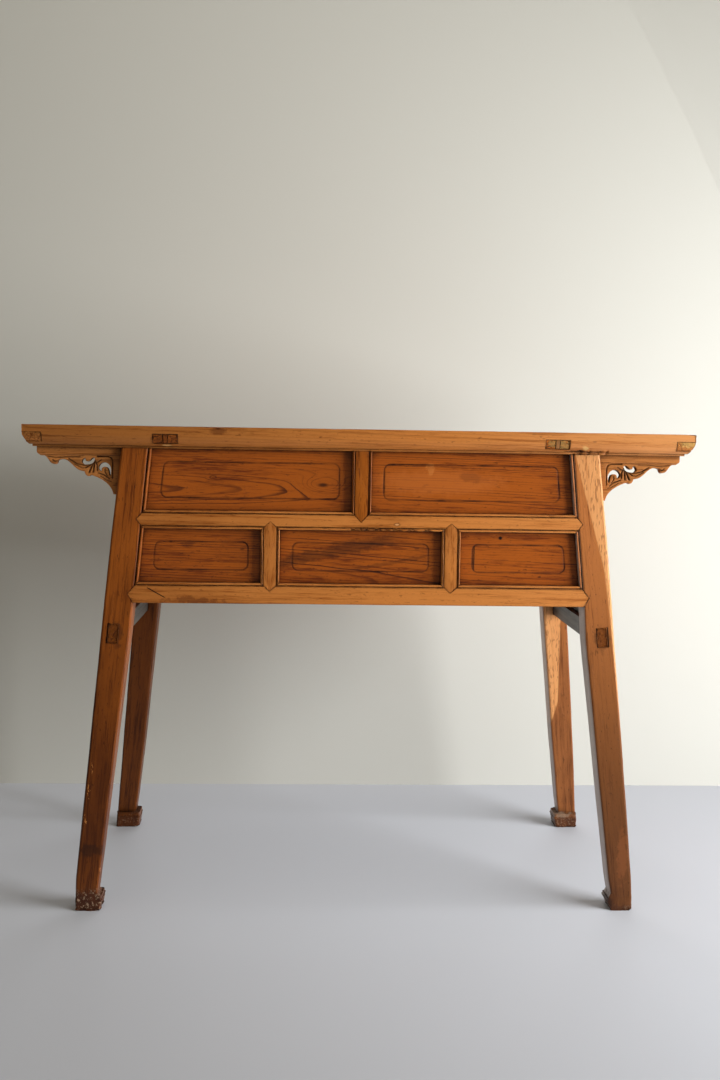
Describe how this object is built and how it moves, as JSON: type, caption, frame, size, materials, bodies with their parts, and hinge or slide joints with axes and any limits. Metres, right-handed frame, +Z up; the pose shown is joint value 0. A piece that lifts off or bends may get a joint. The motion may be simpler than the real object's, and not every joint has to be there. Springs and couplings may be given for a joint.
{
  "type": "altar table",
  "caption": "Long narrow altar table with splayed legs, a framed overhanging top, pierced corner spandrels and a shallow body of beaded rails and recessed panels.",
  "frame": {"origin": "on the floor, under the middle of the table", "axes": "+X along the length of the table, -Y out of its front, +Z up"},
  "size_m": [1.22, 0.518, 0.88],
  "materials": {
    "top_wood": "satin",
    "frame_wood": "satin",
    "panel_wood": "satin",
    "carved_wood": "satin",
    "rear_wood": "matte",
    "bare_wood": "matte",
    "wedge_wood": "matte"
  },
  "bodies": {
    "root": {"batten_wedges": "wedge_wood", "front_centre_stile": "frame_wood", "front_lower_rail": "frame_wood", "front_lower_stile_left": "frame_wood", "front_lower_stile_right": "frame_wood", "front_middle_rail": "frame_wood", "front_panel_lower_centre": "panel_wood", "front_panel_lower_left": "panel_wood", "front_panel_lower_right": "panel_wood", "front_panel_upper_left": "panel_wood", "front_panel_upper_right": "panel_wood", "leg_front_left": "frame_wood", "leg_front_right": "frame_wood", "leg_rear_left": "frame_wood", "leg_rear_right": "frame_wood", "rear_lower_rail": "rear_wood", "rear_middle_rail": "rear_wood", "rear_panel_lower": "rear_wood", "rear_panel_upper": "rear_wood", "side_panel_left": "panel_wood", "side_panel_right": "panel_wood", "side_rail_left": "frame_wood", "side_rail_right": "frame_wood", "spandrel_front_left": "carved_wood", "spandrel_front_right": "carved_wood", "spandrel_rear_left": "carved_wood", "spandrel_rear_right": "carved_wood", "top_batten_left": "bare_wood", "top_batten_right": "bare_wood", "top_board_front": "top_wood", "top_board_rear": "top_wood", "top_front_rail": "top_wood", "top_left_end": "top_wood", "top_rear_rail": "top_wood", "top_right_end": "top_wood"}
  },
  "joints": []
}
